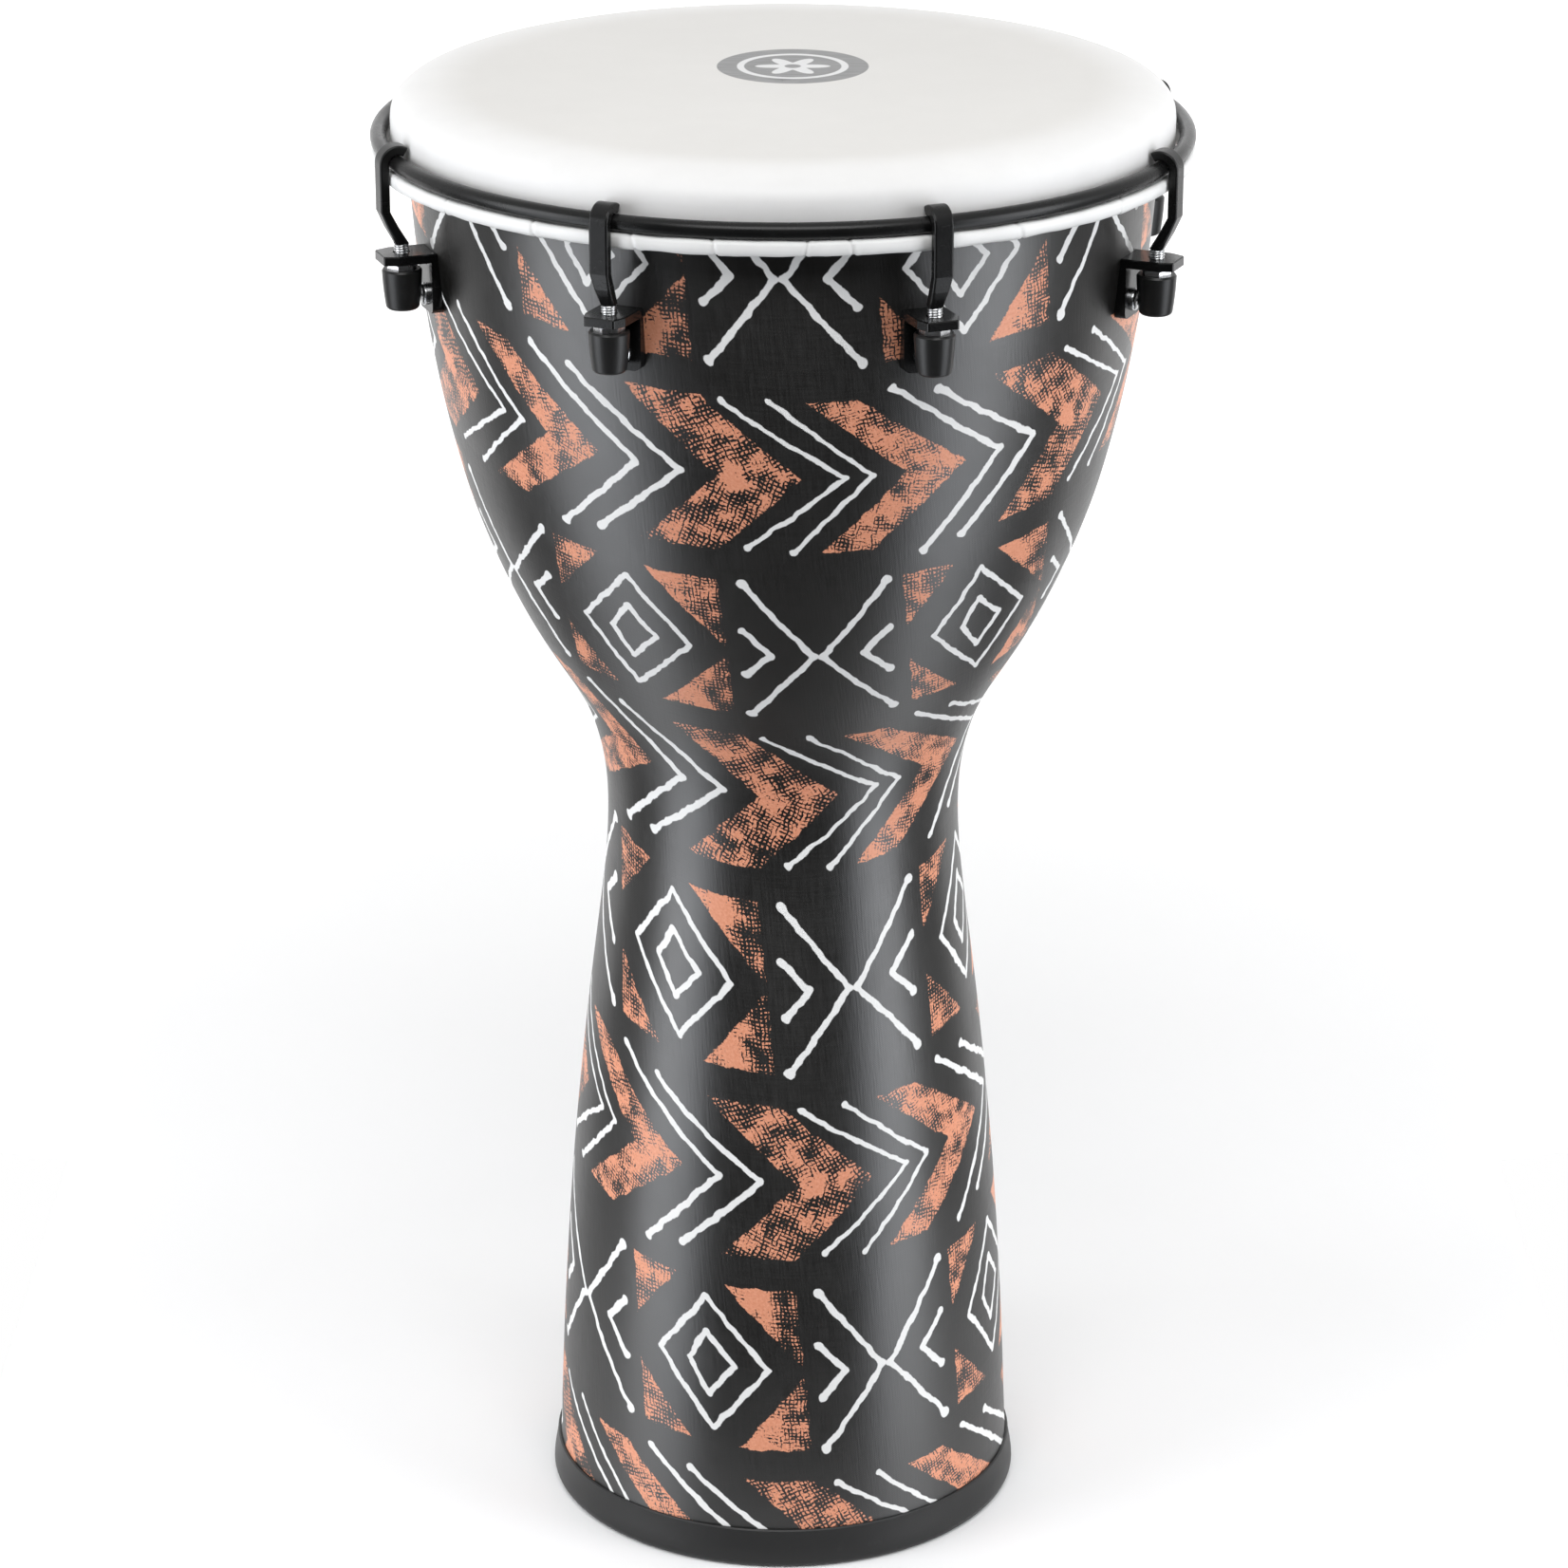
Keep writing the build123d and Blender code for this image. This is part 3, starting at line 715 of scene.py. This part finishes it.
def make_rods(material):
    """A helical thread on each rod, which stands where its hex nut is."""
    low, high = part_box("tuning_rods")
    outer, root = ROD_RADIUS, ROD_RADIUS - THREAD_DEPTH
    z0, z1 = low.z * MM, high.z * MM
    levels = ((ROOT_END, root), (CREST_START, outer), (CREST_END, outer), (ROOT_START, root))
    for k in range(LUGS):
        a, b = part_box(f"hex_nut_{k + 1}")
        cx, cy = (a.x + b.x) / 2 * MM, (a.y + b.y) / 2 * MM
        turns = (z1 - z0) / THREAD_PITCH
        count = int(turns * THREAD_STEPS)
        rings = []
        for level, r in levels:
            t = np.arange(count + 1)
            angle = 2 * math.pi * t / THREAD_STEPS
            z = np.clip(z0 + (t / THREAD_STEPS - 0.5 + level) * THREAD_PITCH, z0, z1)
            rings.append(np.stack([cx + r * np.cos(angle), cy + r * np.sin(angle), z], 1))
        points = np.stack(rings, 1).reshape(-1, 3) / MM
        faces = []
        n = count + 1
        for i in range(n - 1):
            for j in range(3):
                faces.append((i * 4 + j, (i + 1) * 4 + j, (i + 1) * 4 + j + 1, i * 4 + j + 1))
        for i in range(n - 1 - THREAD_STEPS):
            k2 = i + THREAD_STEPS
            faces.append((i * 4 + 3, (i + 1) * 4 + 3, (k2 + 1) * 4, k2 * 4))
        piece = add_mesh(f"rod_thread_{k + 1}", points, faces, material)
        if k == 0:
            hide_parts("tuning_rods")
        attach(piece, "tension_assembly")


# ---- stage -------------------------------------------------------------------------------------
TABLE_HALF = 0.345
TABLE_FRONT = 0.16
BACK_HALF = 4.0
BACK_DEPTH = 2.2
BACK_BEND = 1.2
BACK_TALL = 4.0
TABLE_DEPTH = 0.3
WIDE_DEPTH = 1.3               # the table has widened to the backdrop here
BEND_STEPS = 12
FLOOR_GLOW = (0.05, 0.75)      # lifts the floor to white, more so far away
GLOW_REACH = (0.3, 2.6)


def make_stage():
    """Pale table top that widens behind the drum and curves up into a backdrop."""
    g = Graph("floor")
    soft = g.noise(g.place(), 3.0, 3.0, 0.5)
    away = g.v("LENGTH", g.place())
    g.set(Base_Color=g.mix(soft, grey(0.78), grey(0.82)), Roughness=0.7,
          Specular_IOR_Level=0.2, Emission_Color=grey(1.0),
          Emission_Strength=g.ramp(away, *GLOW_REACH, *FLOOR_GLOW))
    outline = [(-TABLE_FRONT, 0.0, TABLE_HALF), (TABLE_DEPTH, 0.0, TABLE_HALF),
               (WIDE_DEPTH, 0.0, BACK_HALF), (BACK_DEPTH, 0.0, BACK_HALF)]
    for k in range(1, BEND_STEPS + 1):
        a = math.pi / 2 * k / BEND_STEPS
        rise = BACK_BEND * (1 - math.cos(a))
        outline.append((BACK_DEPTH + BACK_BEND * math.sin(a), rise, BACK_HALF))
    outline.append((BACK_DEPTH + BACK_BEND, BACK_TALL, BACK_HALF))
    points = [(sign * half, y, z) for y, z, half in outline for sign in (-1, 1)]
    faces = [(2 * i, 2 * i + 1, 2 * i + 3, 2 * i + 2) for i in range(len(outline) - 1)]
    floor = add_mesh("floor", points, faces, g.material)


WORLD_FRONT = 0.05
WORLD_REST = 0.80
WORLD_BELOW = 0.25
FRONT_FADE = (-0.85, -0.15)    # from the dim front to the brighter rest, along Y
BELOW_FADE = (-0.25, 0.1)      # and from the dim underside upwards, along Z
WHITE_LIGHT = (1.0, 1.0, 1.0)
COOL = (0.92, 0.95, 1.0)
# name, place, target, size, watts, colour
LIGHTS = (
    ("strip_left", (-0.67, -0.36, 0.20), (0, 0, 0.20), (0.44, 1.3), 5.4, COOL),
    ("strip_right", (0.67, -0.38, 0.20), (0, 0, 0.20), (0.40, 1.3), 4.7, COOL),
    ("side_left", (-2.1, -0.75, 0.75), (0, 0, 0.32), (0.8, 1.7), 9.0, WHITE_LIGHT),
    ("side_right", (1.9, -0.75, 0.75), (0, 0, 0.32), (0.8, 1.7), 8.0, WHITE_LIGHT),
    ("top_front", (0.0, -1.5, 2.3), (0, 0, 0.3), (1.8, 1.2), 31.0, WHITE_LIGHT),
)


def area_light(name, place, target, size, power, colour):
    data = bpy.data.lights.new(name, "AREA")
    data.shape = "RECTANGLE"
    data.size, data.size_y = size
    data.energy = power
    data.color = colour
    lamp = bpy.data.objects.new(name, data)
    lamp.visible_camera = False
    bpy.context.scene.collection.objects.link(lamp)
    lamp.location = place
    lamp.rotation_euler = (Vector(target) - Vector(place)).to_track_quat("-Z", "Y").to_euler()


def make_world():
    """White all round for the camera; for light and gloss, dimmer towards the front."""
    world = bpy.data.worlds.new("studio")
    bpy.context.scene.world = world
    world.use_nodes = True
    nodes, link = world.node_tree.nodes, world.node_tree.links.new
    back = nodes["Background"]
    where = nodes.new("ShaderNodeTexCoord")
    split = nodes.new("ShaderNodeSeparateXYZ")
    link(where.outputs["Generated"], split.inputs[0])

    def fade(source, reach, start, end):
        node = nodes.new("ShaderNodeMapRange")
        node.interpolation_type = "SMOOTHSTEP"
        link(source, node.inputs[0])
        for value, socket in zip((*reach, start, end), list(node.inputs)[1:5]):
            socket.default_value = value
        return node.outputs[0]

    def math_node(operation, a, b):
        node = nodes.new("ShaderNodeMath")
        node.operation = operation
        link(a, node.inputs[0])
        link(b, node.inputs[1])
        return node.outputs[0]

    front = fade(split.outputs[1], FRONT_FADE, WORLD_FRONT, WORLD_REST)
    below = fade(split.outputs[2], BELOW_FADE, WORLD_BELOW, 1.0)
    seen = nodes.new("ShaderNodeLightPath").outputs["Is Camera Ray"]
    glow = math_node("MAXIMUM", math_node("MULTIPLY", front, below), seen)
    link(glow, back.inputs["Strength"])
    back.inputs["Color"].default_value = (1.0, 1.0, 1.0, 1.0)


def make_lights():
    for name, place, target, size, power, colour in LIGHTS:
        area_light(name, place, target, size, power, colour)


# ---- CAD pieces that keep their shape ---------------------------------------------------------
def dress(node, material):
    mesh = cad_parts[node].data
    mesh.materials.clear()
    mesh.materials.append(material)


def dress_cad():
    steel = black_coat("steel_black", 0.006, 0.27, 2600.0)
    bracket = black_coat("bracket_black", 0.0045, 0.22, 1500.0, coat=0.25)
    zinc = plated("zinc_steel", (0.66, 0.67, 0.68, 1.0), 0.26, (900.0, 900.0, 120.0))
    chrome = plated("chrome_nut", (0.88, 0.88, 0.89, 1.0), 0.30, (500.0, 500.0, 60.0))
    cap = moulded("cap_plastic", 0.012, 0.36, 2200.0, 0.00005)
    rubber = moulded("foot_rubber", 0.012, 0.40, 1300.0, 0.00006)
    shell = moulded("shell_plastic", 0.030, 0.50, 700.0, 0.00015)
    for node in SHELL_NODES:
        dress(node, shell)
    dress("base_ring", rubber)
    dress("tension_ring", steel)
    for node in ("thrust_washers", "bracket_washers", "bracket_nuts", "bracket_bolts"):
        dress(node, zinc)
    for k in range(1, LUGS + 1):
        dress(f"hook_{k}", steel)
        dress(f"bracket_{k}", bracket)
        dress(f"hex_nut_{k}", chrome)
        dress(f"nut_cap_{k}", cap)
    return zinc


# ---- build ---------------------------------------------------------------------------------------
bpy.context.scene.view_settings.view_transform = "Standard"
make_camera()
make_stage()
make_world()
make_lights()
ZINC = dress_cad()
make_cloth()
make_head()
make_hoop()
make_rods(ZINC)
